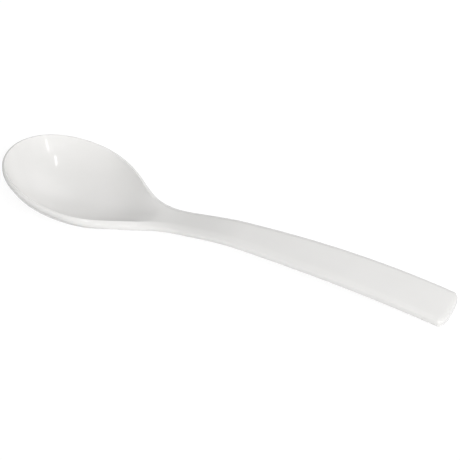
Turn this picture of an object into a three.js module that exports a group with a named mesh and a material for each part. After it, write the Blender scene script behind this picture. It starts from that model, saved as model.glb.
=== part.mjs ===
// One-piece moulded table spoon, lying on a table with its hollow upwards.
// Millimetres, +Z up. X runs from the bowl's tip to the handle's end and Y runs across.
// The origin lies on the table, midway along the spoon.

import * as THREE from 'three';
import { mergeVertices } from 'three/addons/utils/BufferGeometryUtils.js';

// Plan, seen from above
const LENGTH = 190;
const BOWL_WIDTH = 46.5;
const NECK_WIDTH = 13;
const END_WIDTH = 19.2;
const END_CORNER_LENGTH = 2.7;
const END_CORNER_WIDTH = 6.2;

// Stations along the length, each measured from the one before it
const TIP_TO_WIDEST = 30;
const WIDEST_TO_SHOULDER = 17;
const SHOULDER_TO_DIP = 15.5;
const DIP_TO_NECK = 15.5;
const NECK_TO_CREST = 24.5;

// Heights of the upper edge over the table, and its slopes
const TIP_HEIGHT = 17;
const SHOULDER_HEIGHT = 10.3;
const DIP_HEIGHT = 6.9;
const CREST_HEIGHT = 10.4;
const TIP_SLOPE = -0.11;
const SHOULDER_SLOPE = -0.19;
const END_SLOPE = -0.19;

// Thicknesses
const RIM_THICKNESS = 2.4;
const SHOULDER_THICKNESS = 3;
const NECK_THICKNESS = 3.2;
const END_THICKNESS = 3;
const FLOOR_THICKNESS = 2;

// How deep the belly and the handle's end are flattened where they rest on the table
const REST_FLAT = 0.3;

// How far the level floor of the hollow and the belly run on behind the widest place
const FLOOR_RUN = 20;
const BELLY_RUN = 60;

// The hollow's end: the slope at which its floor rises, the length of the bend and the ease at the top
const FLOOR_SLOPE = 0.3;
const FLOOR_BEND = 8;
const FLOOR_EASE = 0.25;

// Rounding of the upper edge, across and in height, and of the lower edge
const RIM_ROUND = 1;
const RIM_ROUND_HEIGHT = 0.9;
const SHOULDER_ROUND = 1.6;
const SHOULDER_ROUND_HEIGHT = 1.4;
const NECK_ROUND = 3.2;
const NECK_ROUND_HEIGHT = 2;
const END_ROUND = 2.2;
const END_ROUND_HEIGHT = 1.1;
const LOWER_ROUND = 0.7;

// How far the upper edge already tilts outwards where it meets the hollow
const RIM_TILT_DEGREES = 35;

// Shape factors of the plan's curves: arm lengths as shares of their spans, and the neck's flare
const TIP_FULLNESS = 0.53;
const BOWL_FRONT_FULLNESS = 0.63;
const BOWL_BACK_FULLNESS = 0.5;
const NECK_SWEEP_SHARE = 0.5;
const NECK_FLARE_SLOPE = 0.03;
const HANDLE_SWEEP_SHARE = 0.33;
const END_SWEEP_SHARE = 0.55;

// Shape factors of the bowl's section: 0 is a parabola, and near 1 an ellipse with upright walls
const HOLLOW_STEEP_RATIO = 0.93;
const BELLY_STEEP_RATIO = 0.97;
const LIP_SHARE = 0.012;

// How gently the ribs turn from a fan into parallel cuts at either end of the spine
const FAN_SOFTNESS = 12;
const END_FAN_LENGTH = 9;
const END_FAN_SOFTNESS = 3;

// Steps of the mesh
const OUTLINE_COUNTS = [26, 24, 22, 8];
const SURFACE_COUNT = 11;
const ROUND_COUNT = 5;
const WELD_DISTANCE = 1e-4;

const WIDEST = TIP_TO_WIDEST;
const SHOULDER = WIDEST + WIDEST_TO_SHOULDER;
const DIP = SHOULDER + SHOULDER_TO_DIP;
const NECK = DIP + DIP_TO_NECK;
const CREST = NECK + NECK_TO_CREST;
const QUARTER_TURN = Math.PI / 2;

// A smooth line through stations [x, value, slope], held level beyond its ends.
function smoothLine(stations) {
  const spans = stations.slice(1).map(([toX, toValue, toSlope], i) => {
    const [fromX, fromValue, fromSlope] = stations[i];
    const arm = (toX - fromX) / 3;
    return new THREE.CubicBezierCurve(
      new THREE.Vector2(fromX, fromValue),
      new THREE.Vector2(fromX + arm, fromValue + fromSlope * arm),
      new THREE.Vector2(toX - arm, toValue - toSlope * arm),
      new THREE.Vector2(toX, toValue),
    );
  });
  return (x) => {
    const span = spans.find((curve) => x <= curve.v3.x) ?? spans.at(-1);
    const share = (x - span.v0.x) / (span.v3.x - span.v0.x);
    return span.getPoint(THREE.MathUtils.clamp(share, 0, 1)).y;
  };
}

// The upper edge in side view.
const edgeHeight = smoothLine([
  [0, TIP_HEIGHT, TIP_SLOPE],
  [SHOULDER, SHOULDER_HEIGHT, SHOULDER_SLOPE],
  [DIP, DIP_HEIGHT, 0],
  [CREST, CREST_HEIGHT, 0],
  [LENGTH, END_THICKNESS + END_SLOPE * LOWER_ROUND, END_SLOPE],
]);
const edgeThickness = smoothLine([
  [WIDEST, RIM_THICKNESS, 0],
  [SHOULDER, SHOULDER_THICKNESS, 0],
  [NECK, NECK_THICKNESS, 0],
  [LENGTH, END_THICKNESS + REST_FLAT, 0],
]);
const edgeRound = smoothLine([
  [WIDEST, RIM_ROUND, 0],
  [SHOULDER, SHOULDER_ROUND, 0],
  [NECK, NECK_ROUND, 0],
  [LENGTH, END_ROUND, 0],
]);
const edgeRoundHeight = smoothLine([
  [WIDEST, RIM_ROUND_HEIGHT, 0],
  [SHOULDER, SHOULDER_ROUND_HEIGHT, 0],
  [NECK, NECK_ROUND_HEIGHT, 0],
  [LENGTH, END_ROUND_HEIGHT, 0],
]);
const edgeTilt = smoothLine([[SHOULDER, THREE.MathUtils.degToRad(RIM_TILT_DEGREES), 0], [NECK, 0, 0]]);

// The lower edge in side view. The table cuts it off where it would reach below.
function footHeight(x) {
  return edgeHeight(x) - edgeThickness(x);
}

// A ramp that stays near 0 before its start and then follows the distance from it.
function softRamp(distance, softness) {
  return (Math.hypot(distance, softness) + distance) / 2;
}

// How much of its full depth the hollow has at a place on the middle line. Its floor is level at first
// and then rises at an even slope until it meets the upper edge.
function hollowShare(x) {
  const rise = FLOOR_SLOPE * softRamp(x - WIDEST - FLOOR_RUN, FLOOR_BEND);
  const full = edgeHeight(x) - FLOOR_THICKNESS;
  return softRamp(full - rise, FLOOR_EASE) / full;
}

// The same for the belly, which rests on the table below the widest place.
function bellyShare(x) {
  return 1 - THREE.MathUtils.smoothstep(x, WIDEST, WIDEST + BELLY_RUN);
}

// Depth of a bowl's section as a share of its full depth, from the middle (0) to the rim (1).
function bowlSection(outward, steepness) {
  const rimTerm = Math.sqrt(1 - steepness);
  return (Math.sqrt(1 - steepness * outward ** 2) - rimTerm) / (1 - rimTerm);
}

// The same depth with its start at the rim eased into a small round.
function easedSection(outward) {
  const soften = (depth) => Math.hypot(depth, LIP_SHARE) - LIP_SHARE;
  return soften(bowlSection(outward, HOLLOW_STEEP_RATIO)) / soften(1);
}

// One side of the outline, from the tip to the flat of the handle's end.
function sidePath() {
  const bowlHalf = BOWL_WIDTH / 2;
  const neckHalf = NECK_WIDTH / 2;
  const endHalf = END_WIDTH / 2;
  const corner = LENGTH - END_CORNER_LENGTH;
  const shoulderSpan = NECK - WIDEST;
  const handleSpan = corner - NECK;
  const path = new THREE.Path();
  path.moveTo(0, 0);
  path.bezierCurveTo(
    0, TIP_FULLNESS * bowlHalf,
    WIDEST * (1 - BOWL_FRONT_FULLNESS), bowlHalf,
    WIDEST, bowlHalf,
  );
  path.bezierCurveTo(
    WIDEST + BOWL_BACK_FULLNESS * shoulderSpan, bowlHalf,
    NECK - NECK_SWEEP_SHARE * shoulderSpan, neckHalf - NECK_FLARE_SLOPE * NECK_SWEEP_SHARE * shoulderSpan,
    NECK, neckHalf,
  );
  path.bezierCurveTo(
    NECK + HANDLE_SWEEP_SHARE * handleSpan, neckHalf + NECK_FLARE_SLOPE * HANDLE_SWEEP_SHARE * handleSpan,
    corner - END_SWEEP_SHARE * handleSpan, endHalf,
    corner, endHalf,
  );
  path.absellipse(
    corner, endHalf - END_CORNER_WIDTH,
    END_CORNER_LENGTH, END_CORNER_WIDTH,
    QUARTER_TURN, 0, true,
  );
  return path;
}

// Points of that side, each with the direction that is square to the outline there.
function sidePoints() {
  const points = [];
  sidePath().curves.forEach((curve, i) => {
    const steps = OUTLINE_COUNTS[i];
    for (let step = i === 0 ? 0 : 1; step <= steps; step += 1) {
      const along = curve.getTangent(step / steps);
      points.push({ at: curve.getPoint(step / steps), square: new THREE.Vector2(-along.y, along.x) });
    }
  });
  return points;
}

// The place on the middle line from which a rib runs out to the edge.
function spinePlace(x) {
  const start = WIDEST + softRamp(x - WIDEST, FAN_SOFTNESS);
  const end = LENGTH - END_FAN_LENGTH;
  return end - softRamp(end - start, END_FAN_SOFTNESS);
}

// One rib: an upright cut from the middle line to the edge, followed from its top round to its underside.
function ribPoints({ at, square }) {
  const spine = new THREE.Vector2(spinePlace(at.x), 0);
  const reach = at.distanceTo(spine);
  const outward = at.clone().sub(spine).divideScalar(reach);
  const lean = Math.abs(outward.dot(square));
  const upperInset = edgeRound(at.x) / lean;
  const lowerInset = LOWER_ROUND / lean;
  const tilt = edgeTilt(at.x);
  const points = [];
  const add = (inset, heightAt) => {
    const place = spine.clone().addScaledVector(outward, reach - inset);
    points.push(new THREE.Vector3(place.x, place.y, heightAt(place.x)));
  };
  for (let step = 0; step < SURFACE_COUNT; step += 1) {
    const share = Math.sin((step / SURFACE_COUNT) * QUARTER_TURN);
    const depth = hollowShare(spine.x) * easedSection(share);
    add(
      THREE.MathUtils.lerp(reach, upperInset, share),
      (x) => THREE.MathUtils.lerp(edgeHeight(x), FLOOR_THICKNESS, depth),
    );
  }
  for (let step = 0; step <= ROUND_COUNT; step += 1) {
    const turn = THREE.MathUtils.lerp(tilt, QUARTER_TURN, step / ROUND_COUNT);
    const drop = edgeRoundHeight(at.x) * (1 - Math.cos(turn) / Math.cos(tilt));
    add((upperInset * (1 - Math.sin(turn))) / (1 - Math.sin(tilt)), (x) => edgeHeight(x) - drop);
  }
  for (let step = 0; step <= ROUND_COUNT; step += 1) {
    const turn = (step / ROUND_COUNT) * QUARTER_TURN;
    const lift = LOWER_ROUND * (1 - Math.sin(turn));
    add(lowerInset * (1 - Math.cos(turn)), (x) => Math.max(footHeight(x) + lift, 0));
  }
  for (let step = SURFACE_COUNT - 1; step >= 0; step -= 1) {
    const share = Math.sin((step / SURFACE_COUNT) * QUARTER_TURN);
    const depth = bellyShare(spine.x) * bowlSection(share, BELLY_STEEP_RATIO);
    add(
      THREE.MathUtils.lerp(reach, lowerInset, share),
      (x) => Math.max(THREE.MathUtils.lerp(footHeight(x), -REST_FLAT, depth), 0),
    );
  }
  return points;
}

// All ribs in turn: from the tip along one side to the handle's end, and back along the other.
function allRibs() {
  const oneSide = sidePoints().map(ribPoints);
  const mirror = (rib) => rib.map(({ x, y, z }) => new THREE.Vector3(x, -y, z));
  return [...oneSide, ...oneSide.slice(1).reverse().map(mirror)];
}

// A closed skin over the ribs. Points that meet on the middle line are welded into one.
function skinOver(ribs) {
  const rows = ribs[0].length;
  const quads = [];
  for (let rib = 0; rib < ribs.length; rib += 1) {
    const next = (rib + 1) % ribs.length;
    for (let row = 1; row < rows; row += 1) {
      const [a, b] = [rib * rows + row - 1, rib * rows + row];
      const [c, d] = [next * rows + row, next * rows + row - 1];
      quads.push(a, c, b, a, d, c);
    }
  }
  const skin = new THREE.BufferGeometry().setFromPoints(ribs.flat());
  skin.setIndex(quads);
  const welded = mergeVertices(skin, WELD_DISTANCE);
  const corners = welded.getIndex().array;
  const kept = [];
  for (let i = 0; i < corners.length; i += 3) {
    const triangle = corners.slice(i, i + 3);
    if (new Set(triangle).size === 3) {
      kept.push(...triangle);
    }
  }
  welded.setIndex(kept);
  welded.computeVertexNormals();
  return welded;
}

const whitePlastic = new THREE.MeshStandardMaterial({ color: 0xf2f1ee, roughness: 0.2, metalness: 0 });
const spoon = new THREE.Mesh(skinOver(allRibs()), whitePlastic);
spoon.name = 'spoon';
spoon.position.x = -LENGTH / 2;

const tableSpoon = new THREE.Group();
tableSpoon.add(spoon);

export default tableSpoon;
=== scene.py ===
import math

import bmesh
import bpy
import numpy as np
from mathutils import Matrix, Vector


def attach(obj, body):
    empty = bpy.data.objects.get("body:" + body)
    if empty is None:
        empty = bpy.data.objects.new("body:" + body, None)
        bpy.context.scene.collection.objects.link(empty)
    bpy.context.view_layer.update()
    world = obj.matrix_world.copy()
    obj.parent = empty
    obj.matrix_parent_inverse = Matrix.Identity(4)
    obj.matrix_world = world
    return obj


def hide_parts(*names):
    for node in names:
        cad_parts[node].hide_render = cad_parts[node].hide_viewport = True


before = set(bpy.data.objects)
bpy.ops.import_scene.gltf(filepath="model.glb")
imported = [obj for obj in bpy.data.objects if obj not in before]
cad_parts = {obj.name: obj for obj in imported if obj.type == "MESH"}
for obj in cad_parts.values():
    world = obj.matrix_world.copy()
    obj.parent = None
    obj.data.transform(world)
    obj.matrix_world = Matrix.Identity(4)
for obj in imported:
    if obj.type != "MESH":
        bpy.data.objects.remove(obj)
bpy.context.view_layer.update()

# The spoon's shape is worked out in millimetres, with X counted from the bowl's tip.
MM = 0.001

# Plan, seen from above
LENGTH = 190
BOWL_WIDTH = 46.5
NECK_WIDTH = 13
END_WIDTH = 19.2
END_CORNER_LENGTH = 2.7
END_CORNER_WIDTH = 6.2

# Stations along the length
WIDEST = 30
SHOULDER = 47
DIP = 62.5
NECK = 78
CREST = 102.5

# Heights of the upper edge over the table, and its slopes
TIP_HEIGHT = 17
SHOULDER_HEIGHT = 10.3
DIP_HEIGHT = 6.9
CREST_HEIGHT = 10.4
TIP_SLOPE = -0.11
SHOULDER_SLOPE = -0.19
END_SLOPE = -0.19

# Thicknesses
RIM_THICKNESS = 2.4
SHOULDER_THICKNESS = 3
NECK_THICKNESS = 3.2
END_THICKNESS = 3
FLOOR_THICKNESS = 2

# How deep the belly and the handle's end are flattened where they rest on the table
REST_FLAT = 0.3

# How far the level floor of the hollow and the belly run on behind the widest place
FLOOR_RUN = 20
BELLY_RUN = 60

# The hollow's end: the slope at which its floor rises, the length of the bend and the ease at the top
FLOOR_SLOPE = 0.3
FLOOR_BEND = 8
FLOOR_EASE = 0.6

# Rounding of the upper edge, across and in height, and of the lower edge
RIM_ROUND = 1
RIM_ROUND_HEIGHT = 0.9
SHOULDER_ROUND = 1.6
SHOULDER_ROUND_HEIGHT = 1.4
NECK_ROUND = 3.2
NECK_ROUND_HEIGHT = 2
END_ROUND = 2.2
END_ROUND_HEIGHT = 1.1
LOWER_ROUND = 0.7

# How far the upper edge already tilts outwards where it meets the hollow
RIM_TILT = math.radians(35)

# Shape factors of the plan's curves: arm lengths as shares of their spans, and the neck's flare
TIP_FULLNESS = 0.53
BOWL_FRONT_FULLNESS = 0.63
BOWL_BACK_FULLNESS = 0.5
NECK_SWEEP = 0.5
NECK_FLARE = 0.03
HANDLE_SWEEP = 0.33
END_SWEEP = 0.55

# Shape factors of the bowl's section: 0 is a parabola, and near 1 an ellipse with upright walls
HOLLOW_STEEPNESS = 0.93
BELLY_STEEPNESS = 0.97
LIP_EASE = 0.012

# How gently the ribs turn from a fan into parallel cuts at either end of the spine
FAN_SOFTNESS = 12
END_FAN_LENGTH = 9
END_FAN_SOFTNESS = 3

# Steps of the mesh
TIP_STEPS = 66
BOWL_STEPS = 66
HANDLE_STEPS = 90
CORNER_STEPS = 16
END_STEPS = 6
SURFACE_STEPS = 28
ROUND_STEPS = 9
WELD_DISTANCE = 1e-6

# Camera, in metres and with the lens and sensor in millimetres
VIEW_AZIMUTH = math.radians(22.18)
VIEW_ELEVATION = math.radians(40.37)
VIEW_ROLL = math.radians(1.6)
VIEW_DISTANCE = 1.3
VIEW_TARGET = Vector((0.0008, 0.0024, 0.0072))
LENS = 259.2
SENSOR = 36

# Plastic: two tones that it wavers between, its gloss, and the fine ripple of its surface in metres
TONE_SCALE = 55
TONE_DETAIL = 4
TONE_RANGE = (0.3, 0.7)
DARK_TONE = (0.8, 0.793, 0.779, 1)
PALE_TONE = (0.82, 0.813, 0.8, 1)
GLOSS_SCALE = 260
GLOSS_DETAIL = 6
ROUGHNESS = (0.07, 0.14)
RIPPLE_SCALE = 420
RIPPLE_DETAIL = 2
RIPPLE_STRENGTH = 0.25
RIPPLE_HEIGHT = 0.00001
IOR = 1.52
SPECULAR_LEVEL = 0.35

# Floor: its size and gap under the spoon in metres, its tone as a pale surface, and how it is seen
FLOOR_SIZE = 20
FLOOR_GAP = 0.0001
FLOOR_TONE = 0.6
SHADOW_TONE = 0.12
SEEN_GLOW = 0.93

# Light directions in degrees, as azimuth from the front (-Y) towards +X and as elevation, with strengths
GLOW_SIDE = (180, 50)
GLOW_STRENGTH = 1.9
GLOW_FOCUS = 8
SOFT_LAMPS = {
    "key": ((50, 38), 2.54),
    "front_fill": ((-20, 15), 0.77),
    "back_fill": ((150, 15), 0.2),
}
SOFT_LAMP_SPREAD = math.radians(26)

# Two narrow strip lamps that the bowl mirrors as streaks: the directions of both ends and the strength
STRIPS = {
    "low_strip": ((52.5, 17), (60, 46), 11),
    "high_strip": ((53.5, 57), (86, 75), 12),
}
STRIP_TARGET = Vector((-0.083, 0.0135, 0.01))
STRIP_DISTANCE = 1.5
STRIP_WIDTH = 0.07

# A small lamp before the handle's end
END_LAMP_PLACE = Vector((0.19, -0.05, 0.012))
END_LAMP_TARGET = Vector((0.095, 0, 0.0015))
END_LAMP_SIZE = 0.02
END_LAMP_ENERGY = 0.02

# The slope at which a low white backdrop, which only mirrored rays see, has faded out
BACKDROP_SLOPE = 0.45


def smooth_line(stations):
    """A smooth line through stations (x, value, slope), held level beyond its ends."""
    places, values, slopes = (np.array(column, float) for column in zip(*stations))

    def line(x):
        span = np.clip(np.searchsorted(places, x, side="right") - 1, 0, len(places) - 2)
        width = places[span + 1] - places[span]
        t = np.clip((x - places[span]) / width, 0, 1)
        leave = values[span] * (1 + 2 * t) * (1 - t) ** 2 + slopes[span] * width * t * (1 - t) ** 2
        arrive = values[span + 1] * t * t * (3 - 2 * t) + slopes[span + 1] * width * t * t * (t - 1)
        return leave + arrive

    return line


edge_height = smooth_line([
    (0, TIP_HEIGHT, TIP_SLOPE),
    (SHOULDER, SHOULDER_HEIGHT, SHOULDER_SLOPE),
    (DIP, DIP_HEIGHT, 0),
    (CREST, CREST_HEIGHT, 0),
    (LENGTH, END_THICKNESS + END_SLOPE * LOWER_ROUND, END_SLOPE),
])
edge_thickness = smooth_line([
    (WIDEST, RIM_THICKNESS, 0),
    (SHOULDER, SHOULDER_THICKNESS, 0),
    (NECK, NECK_THICKNESS, 0),
    (LENGTH, END_THICKNESS + REST_FLAT, 0),
])
edge_round = smooth_line([
    (WIDEST, RIM_ROUND, 0),
    (SHOULDER, SHOULDER_ROUND, 0),
    (NECK, NECK_ROUND, 0),
    (LENGTH, END_ROUND, 0),
])
edge_round_height = smooth_line([
    (WIDEST, RIM_ROUND_HEIGHT, 0),
    (SHOULDER, SHOULDER_ROUND_HEIGHT, 0),
    (NECK, NECK_ROUND_HEIGHT, 0),
    (LENGTH, END_ROUND_HEIGHT, 0),
])
edge_tilt = smooth_line([(SHOULDER, RIM_TILT, 0), (NECK, 0, 0)])


def foot_height(x):
    """The lower edge in side view. The table cuts it off where it would reach below."""
    return edge_height(x) - edge_thickness(x)


def hollow_share(x):
    """How much of its full depth the hollow has at a place on the middle line."""
    rise = FLOOR_SLOPE * soft_ramp(x - WIDEST - FLOOR_RUN, FLOOR_BEND)
    full = edge_height(x) - FLOOR_THICKNESS
    return soft_ramp(full - rise, FLOOR_EASE) / full


def belly_share(x):
    """The same for the belly, which rests on the table below the widest place."""
    t = np.clip((x - WIDEST) / BELLY_RUN, 0, 1)
    return 1 - t * t * (3 - 2 * t)


def bowl_section(outward, steepness):
    """Depth of a bowl's section as a share of its full depth, from the middle (0) to the rim (1)."""
    rim_term = math.sqrt(1 - steepness)
    return (math.sqrt(1 - steepness * outward ** 2) - rim_term) / (1 - rim_term)


def eased_section(outward):
    """The same depth with its start at the rim eased into a small round."""
    depth = bowl_section(outward, HOLLOW_STEEPNESS)
    full = math.hypot(1, LIP_EASE) - LIP_EASE
    return (math.hypot(depth, LIP_EASE) - LIP_EASE) / full


def bezier(start, leave, arrive, end, steps):
    """Points of a cubic curve and its directions there, without the first one."""
    t = np.linspace(0, 1, steps + 1)[1:, None]
    start, leave, arrive, end = (np.array(point, float) for point in (start, leave, arrive, end))
    first_half = start * (1 - t) ** 3 + leave * 3 * t * (1 - t) ** 2
    points = first_half + arrive * 3 * t ** 2 * (1 - t) + end * t ** 3
    along = (leave - start) * (1 - t) ** 2 + (arrive - leave) * 2 * t * (1 - t) + (end - arrive) * t ** 2
    return points, along


def side_points():
    """One side of the outline, from the tip to the middle of the end, with its square directions."""
    bowl_half = BOWL_WIDTH / 2
    neck_half = NECK_WIDTH / 2
    end_half = END_WIDTH / 2
    corner = LENGTH - END_CORNER_LENGTH
    shoulder_span = NECK - WIDEST
    handle_span = corner - NECK
    front = bezier(
        (0, 0),
        (0, TIP_FULLNESS * bowl_half),
        (WIDEST * (1 - BOWL_FRONT_FULLNESS), bowl_half),
        (WIDEST, bowl_half),
        TIP_STEPS,
    )
    back = bezier(
        (WIDEST, bowl_half),
        (WIDEST + BOWL_BACK_FULLNESS * shoulder_span, bowl_half),
        (NECK - NECK_SWEEP * shoulder_span, neck_half - NECK_FLARE * NECK_SWEEP * shoulder_span),
        (NECK, neck_half),
        BOWL_STEPS,
    )
    handle = bezier(
        (NECK, neck_half),
        (NECK + HANDLE_SWEEP * handle_span, neck_half + NECK_FLARE * HANDLE_SWEEP * handle_span),
        (corner - END_SWEEP * handle_span, end_half),
        (corner, end_half),
        HANDLE_STEPS,
    )
    turn = np.linspace(0, math.pi / 2, CORNER_STEPS + 1)[1:]
    sweep = np.column_stack([np.sin(turn), np.cos(turn)])
    middle = np.array([corner, end_half - END_CORNER_WIDTH])
    axes = np.array([END_CORNER_LENGTH, END_CORNER_WIDTH])
    rounded = middle + axes * sweep, axes * np.column_stack([np.cos(turn), -np.sin(turn)])
    flat = np.linspace(end_half - END_CORNER_WIDTH, 0, END_STEPS + 1)[1:]
    blunt = np.column_stack([np.full_like(flat, LENGTH), flat]), np.tile([0.0, -1.0], (END_STEPS, 1))
    tip = np.array([[0.0, 0.0]]), np.array([[0.0, 1.0]])
    points, along = (np.concatenate(column) for column in zip(tip, front, back, handle, rounded, blunt))
    square = np.column_stack([-along[:, 1], along[:, 0]])
    return points, square / np.linalg.norm(square, axis=1)[:, None]


def soft_ramp(distance, softness):
    """A ramp that stays near 0 before its start and then follows the distance from it."""
    return (np.hypot(distance, softness) + distance) / 2


def spine_place(x):
    """The place on the middle line from which a rib runs out to the edge."""
    start = WIDEST + soft_ramp(x - WIDEST, FAN_SOFTNESS)
    end = LENGTH - END_FAN_LENGTH
    return end - soft_ramp(end - start, END_FAN_SOFTNESS)


def rib_rows():
    """Rows of points round the section, each running along one side of the spoon."""
    points, square = side_points()
    spine = np.column_stack([spine_place(points[:, 0]), np.zeros(len(points))])
    reach = np.linalg.norm(points - spine, axis=1)
    outward = (points - spine) / reach[:, None]
    lean = np.abs((outward * square).sum(1))
    upper_inset = edge_round(points[:, 0]) / lean
    lower_inset = LOWER_ROUND / lean
    hollow = hollow_share(spine[:, 0])
    belly = belly_share(spine[:, 0])
    tilt = edge_tilt(points[:, 0])
    upper_drop = edge_round_height(points[:, 0])
    shares = [math.sin(step / SURFACE_STEPS * math.pi / 2) for step in range(SURFACE_STEPS)]
    turns = [step / ROUND_STEPS * math.pi / 2 for step in range(ROUND_STEPS + 1)]
    rows = []

    def add(inset, height_at):
        place = spine + outward * (reach - inset)[:, None]
        rows.append(np.column_stack([place, height_at(place[:, 0])]))

    for share in shares:
        depth = hollow * eased_section(share)
        add(
            reach + (upper_inset - reach) * share,
            lambda x: edge_height(x) + (FLOOR_THICKNESS - edge_height(x)) * depth,
        )
    for turn in turns:
        angle = tilt + (math.pi / 2 - tilt) * turn / (math.pi / 2)
        drop = upper_drop * (1 - np.cos(angle) / np.cos(tilt))
        add(
            upper_inset * (1 - np.sin(angle)) / (1 - np.sin(tilt)),
            lambda x: edge_height(x) - drop,
        )
    for turn in turns:
        add(
            lower_inset * (1 - math.cos(turn)),
            lambda x: np.maximum(foot_height(x) + LOWER_ROUND * (1 - math.sin(turn)), 0),
        )
    for share in reversed(shares):
        depth = belly * bowl_section(share, BELLY_STEEPNESS)
        add(
            reach + (lower_inset - reach) * share,
            lambda x: np.maximum(foot_height(x) * (1 - depth) - REST_FLAT * depth, 0),
        )
    return np.stack(rows)


def make_spoon():
    """The spoon as one closed skin over the ribs of both sides."""
    rows = rib_rows()
    other = rows[:, -2:0:-1] * np.array([1, -1, 1])
    rows = np.concatenate([rows, other], axis=1)
    rows[:, :, 0] -= LENGTH / 2
    count, ribs = rows.shape[:2]
    quads = []
    for row in range(count - 1):
        for rib in range(ribs):
            after = (rib + 1) % ribs
            here, below = row * ribs, (row + 1) * ribs
            quads.append((here + rib, here + after, below + after, below + rib))
    mesh = bpy.data.meshes.new("spoon_skin")
    mesh.from_pydata((rows.reshape(-1, 3) * MM).tolist(), [], quads)
    work = bmesh.new()
    work.from_mesh(mesh)
    bmesh.ops.remove_doubles(work, verts=work.verts, dist=WELD_DISTANCE)
    bmesh.ops.recalc_face_normals(work, faces=work.faces)
    work.to_mesh(mesh)
    work.free()
    mesh.shade_smooth()
    spoon = bpy.data.objects.new("moulded_spoon", mesh)
    bpy.context.scene.collection.objects.link(spoon)
    return spoon


def new_material(name):
    """An empty node material: its nodes, its links and its output."""
    material = bpy.data.materials.new(name)
    material.use_nodes = True
    material.node_tree.nodes.clear()
    output = material.node_tree.nodes.new("ShaderNodeOutputMaterial")
    return material, material.node_tree.nodes, material.node_tree.links, output


def white_plastic():
    """Glossy white moulding compound: a little uneven in tone, gloss and surface."""
    material, nodes, links, output = new_material("white_plastic_look")
    place = nodes.new("ShaderNodeTexCoord")
    tone = nodes.new("ShaderNodeTexNoise")
    tone.inputs["Scale"].default_value = TONE_SCALE
    tone.inputs["Detail"].default_value = TONE_DETAIL
    shades = nodes.new("ShaderNodeValToRGB")
    for stop, position, color in zip(shades.color_ramp.elements, TONE_RANGE, (DARK_TONE, PALE_TONE)):
        stop.position = position
        stop.color = color
    wear = nodes.new("ShaderNodeTexNoise")
    wear.inputs["Scale"].default_value = GLOSS_SCALE
    wear.inputs["Detail"].default_value = GLOSS_DETAIL
    gloss = nodes.new("ShaderNodeMapRange")
    gloss.inputs["To Min"].default_value, gloss.inputs["To Max"].default_value = ROUGHNESS
    ripple = nodes.new("ShaderNodeTexNoise")
    ripple.inputs["Scale"].default_value = RIPPLE_SCALE
    ripple.inputs["Detail"].default_value = RIPPLE_DETAIL
    bump = nodes.new("ShaderNodeBump")
    bump.inputs["Strength"].default_value = RIPPLE_STRENGTH
    bump.inputs["Distance"].default_value = RIPPLE_HEIGHT
    plastic = nodes.new("ShaderNodeBsdfPrincipled")
    plastic.inputs["IOR"].default_value = IOR
    plastic.inputs["Specular IOR Level"].default_value = SPECULAR_LEVEL
    for texture in (tone, wear, ripple):
        links.new(place.outputs["Object"], texture.inputs["Vector"])
    links.new(tone.outputs["Fac"], shades.inputs["Fac"])
    links.new(shades.outputs["Color"], plastic.inputs["Base Color"])
    links.new(wear.outputs["Fac"], gloss.inputs["Value"])
    links.new(gloss.outputs["Result"], plastic.inputs["Roughness"])
    links.new(ripple.outputs["Fac"], bump.inputs["Height"])
    links.new(bump.outputs["Normal"], plastic.inputs["Normal"])
    links.new(plastic.outputs["BSDF"], output.inputs["Surface"])
    return material


def seen_rays(nodes, links):
    """1 for camera, glossy and transmission rays, and 0 for the rest."""
    path = nodes.new("ShaderNodeLightPath")
    first = nodes.new("ShaderNodeMath")
    first.operation = "ADD"
    second = nodes.new("ShaderNodeMath")
    second.operation = "ADD"
    second.use_clamp = True
    links.new(path.outputs["Is Camera Ray"], first.inputs[0])
    links.new(path.outputs["Is Glossy Ray"], first.inputs[1])
    links.new(first.outputs["Value"], second.inputs[0])
    links.new(path.outputs["Is Transmission Ray"], second.inputs[1])
    return second.outputs["Value"]


def make_floor():
    """A plain pale floor that is seen as white but for the shadow on it."""
    bpy.ops.mesh.primitive_plane_add(size=FLOOR_SIZE, location=(0, 0, -FLOOR_GAP))
    floor = bpy.context.object
    floor.name = "floor"
    material, nodes, links, output = new_material("floor_look")
    plain = nodes.new("ShaderNodeBsdfDiffuse")
    plain.inputs["Color"].default_value = (FLOOR_TONE, FLOOR_TONE, FLOOR_TONE, 1)
    shaded = nodes.new("ShaderNodeBsdfDiffuse")
    shaded.inputs["Color"].default_value = (SHADOW_TONE, SHADOW_TONE, SHADOW_TONE, 1)
    glow = nodes.new("ShaderNodeEmission")
    glow.inputs["Strength"].default_value = SEEN_GLOW
    white = nodes.new("ShaderNodeAddShader")
    either = nodes.new("ShaderNodeMixShader")
    links.new(shaded.outputs["BSDF"], white.inputs[0])
    links.new(glow.outputs["Emission"], white.inputs[1])
    links.new(seen_rays(nodes, links), either.inputs["Fac"])
    links.new(plain.outputs["BSDF"], either.inputs[1])
    links.new(white.outputs["Shader"], either.inputs[2])
    links.new(either.outputs["Shader"], output.inputs["Surface"])
    floor.data.materials.append(material)
    return floor


def toward(side):
    """The direction of a light given as azimuth and elevation in degrees."""
    azimuth, elevation = (math.radians(angle) for angle in side)
    level = math.cos(elevation)
    return Vector((math.sin(azimuth) * level, -math.cos(azimuth) * level, math.sin(elevation)))


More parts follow.
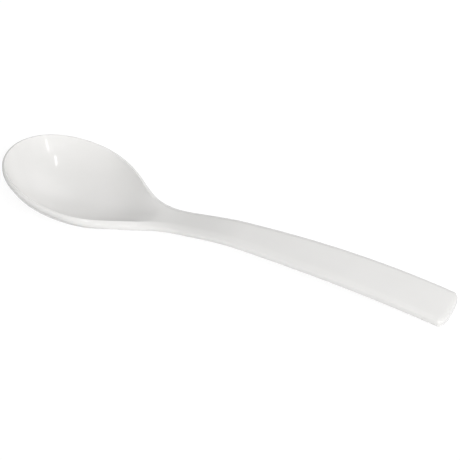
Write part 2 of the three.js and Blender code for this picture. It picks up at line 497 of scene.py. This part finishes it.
def make_world():
    """A dim room with one broad soft glow, and a low white backdrop in mirrored rays."""
    world = bpy.data.worlds.new("studio")
    bpy.context.scene.world = world
    world.use_nodes = True
    nodes = world.node_tree.nodes
    links = world.node_tree.links
    nodes.clear()
    output = nodes.new("ShaderNodeOutputWorld")
    glow = nodes.new("ShaderNodeBackground")
    glow.inputs["Strength"].default_value = GLOW_STRENGTH
    place = nodes.new("ShaderNodeTexCoord")
    facing = nodes.new("ShaderNodeVectorMath")
    facing.operation = "DOT_PRODUCT"
    facing.inputs[1].default_value = toward(GLOW_SIDE)
    front = nodes.new("ShaderNodeMath")
    front.operation = "MAXIMUM"
    front.inputs[1].default_value = 0
    focus = nodes.new("ShaderNodeMath")
    focus.operation = "POWER"
    focus.inputs[1].default_value = GLOW_FOCUS
    links.new(place.outputs["Generated"], facing.inputs[0])
    links.new(facing.outputs["Value"], front.inputs[0])
    links.new(front.outputs["Value"], focus.inputs[0])
    links.new(focus.outputs["Value"], glow.inputs["Color"])
    parts = nodes.new("ShaderNodeSeparateXYZ")
    low = nodes.new("ShaderNodeMapRange")
    low.interpolation_type = "SMOOTHSTEP"
    low.inputs["From Max"].default_value = BACKDROP_SLOPE
    low.inputs["To Min"].default_value = 1
    low.inputs["To Max"].default_value = 0
    shown = nodes.new("ShaderNodeMath")
    shown.operation = "MULTIPLY"
    backdrop = nodes.new("ShaderNodeBackground")
    both = nodes.new("ShaderNodeAddShader")
    links.new(place.outputs["Generated"], parts.inputs["Vector"])
    links.new(parts.outputs["Z"], low.inputs["Value"])
    links.new(low.outputs["Result"], shown.inputs[0])
    links.new(seen_rays(nodes, links), shown.inputs[1])
    links.new(shown.outputs["Value"], backdrop.inputs["Color"])
    links.new(glow.outputs["Background"], both.inputs[0])
    links.new(backdrop.outputs["Background"], both.inputs[1])
    links.new(both.outputs["Shader"], output.inputs["Surface"])


def add_soft_lamp(name, side, strength):
    """A broad far lamp behind a screen, which lights the spoon and isn't mirrored in it."""
    lamp = bpy.data.lights.new(name, "SUN")
    lamp.angle = SOFT_LAMP_SPREAD
    lamp.energy = strength
    shown = bpy.data.objects.new(name, lamp)
    shown.rotation_euler = toward(side).to_track_quat("Z", "Y").to_euler()
    shown.visible_glossy = False
    bpy.context.scene.collection.objects.link(shown)


def add_strip(name, first_side, last_side, strength):
    """A narrow lamp between two directions, faint enough to show only where the spoon mirrors it."""
    first = toward(first_side)
    last = toward(last_side)
    back = (first + last).normalized()
    along = (last - first).normalized()
    lamp = bpy.data.lights.new(name, "AREA")
    lamp.shape = "RECTANGLE"
    lamp.size = STRIP_WIDTH
    lamp.size_y = STRIP_DISTANCE * 2 * math.tan(first.angle(last) / 2)
    lamp.energy = strength * math.pi * lamp.size * lamp.size_y
    shown = bpy.data.objects.new(name, lamp)
    axes = Matrix((along.cross(back), along, back)).transposed().to_4x4()
    shown.matrix_world = Matrix.Translation(STRIP_TARGET + back * STRIP_DISTANCE) @ axes
    shown.visible_diffuse = False
    bpy.context.scene.collection.objects.link(shown)


def add_end_lamp():
    """A small lamp close to the handle's end, which lights little else."""
    lamp = bpy.data.lights.new("end_lamp", "AREA")
    lamp.size = END_LAMP_SIZE
    lamp.energy = END_LAMP_ENERGY
    shown = bpy.data.objects.new("end_lamp", lamp)
    shown.location = END_LAMP_PLACE
    shown.rotation_euler = (END_LAMP_PLACE - END_LAMP_TARGET).to_track_quat("Z", "Y").to_euler()
    shown.visible_glossy = False
    bpy.context.scene.collection.objects.link(shown)


def make_camera():
    """A long lens at the photograph's viewing angle."""
    right = Vector((math.cos(VIEW_AZIMUTH), math.sin(VIEW_AZIMUTH), 0))
    back = Vector((
        math.sin(VIEW_AZIMUTH) * math.cos(VIEW_ELEVATION),
        -math.cos(VIEW_AZIMUTH) * math.cos(VIEW_ELEVATION),
        math.sin(VIEW_ELEVATION),
    ))
    axes = Matrix((right, back.cross(right), back)).transposed().to_4x4()
    lens = bpy.data.cameras.new("view")
    lens.lens = LENS
    lens.sensor_width = SENSOR
    camera = bpy.data.objects.new("view", lens)
    place = Matrix.Translation(VIEW_TARGET + back * VIEW_DISTANCE)
    camera.matrix_world = place @ axes @ Matrix.Rotation(VIEW_ROLL, 4, "Z")
    bpy.context.scene.collection.objects.link(camera)
    bpy.context.scene.camera = camera


spoon = make_spoon()
spoon.data.materials.append(white_plastic())
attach(spoon, "root")
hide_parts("spoon")

floor = make_floor()
make_world()
for name, (side, strength) in SOFT_LAMPS.items():
    add_soft_lamp(name, side, strength)
for name, (first_side, last_side, strength) in STRIPS.items():
    add_strip(name, first_side, last_side, strength)
add_end_lamp()
make_camera()

bpy.context.scene.view_settings.view_transform = "Standard"
